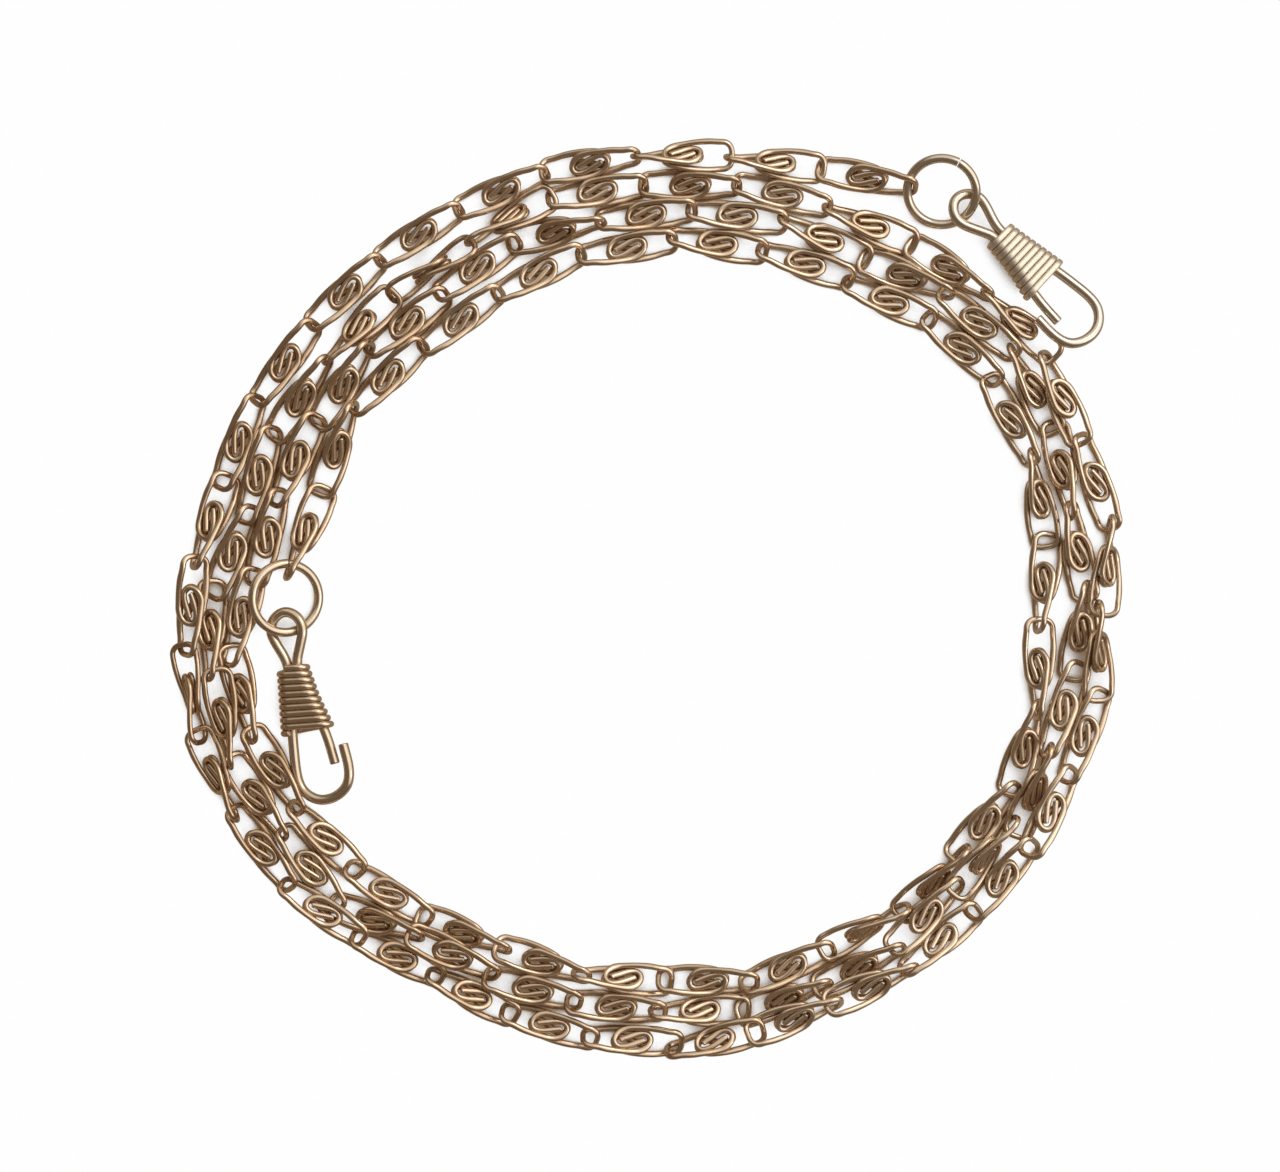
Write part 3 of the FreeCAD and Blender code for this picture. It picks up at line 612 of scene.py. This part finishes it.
# ---------------------------------------------------------------- floor
def pale_card():
    """Seen by the camera: bright, with a fine tooth and a faint warm shade close under the wires.
    Seen by the metal: the same card at the level it lights the wires from below."""
    material, graph = new_material("pale_card")
    place = graph.add("ShaderNodeTexCoord").outputs["Object"]
    tooth = graph.ramp(graph.noise(place, scale=900, detail=3),
                       [(0.0, (0.985, 0.985, 0.983)), (1.0, (1.0, 1.0, 1.0))])
    # the shade falls away from the brighter side of the studio
    lean = graph.add("ShaderNodeCombineXYZ", {0: 0.60, 1: 0.24, 2: 0.76}).outputs[0]
    leaning = graph.occlusion(samples=20, Distance=0.0036, Normal=lean)
    leaning = graph.smoothstep(leaning, start=0.26, full=0.50)
    upright = graph.occlusion(samples=12, Distance=0.0026)
    upright = graph.smoothstep(upright, start=0.24, full=0.44)
    unshaded = graph.calc("MULTIPLY", leaning, upright)
    seen = graph.mix(unshaded, (0.20, 0.125, 0.068), tooth)
    below = graph.mix(unshaded, (0.05, 0.04, 0.03), (0.30, 0.24, 0.175))
    seen, below = (graph.add("ShaderNodeEmission", {"Color": colour}).outputs[0]
                   for colour in (seen, below))
    to_camera = graph.add("ShaderNodeLightPath").outputs["Is Camera Ray"]
    card = graph.add("ShaderNodeMixShader", {0: to_camera, 1: below, 2: seen})
    graph.add("ShaderNodeOutputMaterial", {0: card.outputs[0]})
    return material


FLOOR_HALF = 1.6
FLOOR_DROP = 0.00003
floor_mesh = bpy.data.meshes.new("table_top")
corners = [(x * FLOOR_HALF, y * FLOOR_HALF, 0) for x, y in ((-1, -1), (1, -1), (1, 1), (-1, 1))]
floor_mesh.from_pydata(corners, [], [(0, 1, 2, 3)])
floor = bpy.data.objects.new("table_top", floor_mesh)
floor.location = (0, 0, -FLOOR_DROP)
bpy.context.scene.collection.objects.link(floor)
floor_mesh.materials.append(pale_card())

# ---------------------------------------------------------------- light
# dim warm room: height of the direction, colour
ROOM = [(0.0, (0.12, 0.088, 0.060)), (0.5, (0.135, 0.102, 0.072)),
        (0.85, (0.15, 0.118, 0.088)), (1.0, (0.12, 0.094, 0.070))]
# broad soft panels: direction, cosine where it starts and where it is full, colour
PANELS = [((0.74, 0.16, 0.65), 0.66, 0.94, (0.92, 0.885, 0.83)),
          ((0.05, 0.76, 0.65), 0.60, 0.96, (0.57, 0.545, 0.50))]
BACKDROP = (0.95, 0.95, 0.95)      # what the camera sees in place of the room


def studio():
    world = bpy.data.worlds.new("studio")
    bpy.context.scene.world = world
    world.use_nodes = True
    graph = Graph(world.node_tree)
    way = graph.add("ShaderNodeTexCoord").outputs["Generated"]
    height = graph.add("ShaderNodeSeparateXYZ", {0: way}).outputs["Z"]
    light = graph.ramp(height, ROOM)
    for direction, start, full, colour in PANELS:
        aim = np.array(direction, float)
        aim = tuple(aim / np.linalg.norm(aim))
        cosine = graph.vector_calc("DOT_PRODUCT", {0: way, 1: aim})["Value"]
        strength = graph.smoothstep(cosine, start, full)
        panel = graph.vector_calc("SCALE", {0: colour, "Scale": strength})[0]
        light = graph.vector_calc("ADD", {0: light, 1: panel})[0]
    to_camera = graph.add("ShaderNodeLightPath").outputs["Is Camera Ray"]
    background = world.node_tree.nodes["Background"]
    graph.feed(background.inputs["Color"], graph.mix(to_camera, light, BACKDROP))
    background.inputs["Strength"].default_value = 1.0


def softbox(name, where, size, level, colour):
    """A soft panel aimed at the chain.  level is how bright its face looks in the metal."""
    light = bpy.data.lights.new(name, "AREA")
    light.shape = "RECTANGLE"
    light.size, light.size_y = size
    light.energy = level * math.pi * size[0] * size[1]
    light.color = colour
    ob = bpy.data.objects.new(name, light)
    ob.location = where
    ob.rotation_euler = (-Vector(where)).to_track_quat("-Z", "Y").to_euler()
    ob.visible_camera = False
    bpy.context.scene.collection.objects.link(ob)


studio()
softbox("key", where=(0.30, 0.36, 0.46), size=(0.18, 0.18), level=1.7, colour=(1.0, 0.98, 0.95))
softbox("right", where=(0.55, -0.10, 0.34), size=(0.14, 0.30), level=1.1,
        colour=(1.0, 0.97, 0.93))

# ---------------------------------------------------------------- camera
# It looks straight down and takes in VIEW_WIDTH at the height VIEW_Z.
LENS, SENSOR = 100, 36
VIEW_WIDTH = 0.1408
VIEW_Z = 0.0015
cam = bpy.data.objects.new("camera", bpy.data.cameras.new("camera"))
cam.data.lens, cam.data.sensor_width = LENS, SENSOR
cam.location = (-0.000619, 0.001359, VIEW_Z + VIEW_WIDTH * LENS / SENSOR)
cam.data.clip_start, cam.data.clip_end = 0.01, 20
bpy.context.scene.collection.objects.link(cam)
bpy.context.scene.camera = cam
bpy.context.scene.view_settings.view_transform = "Standard"
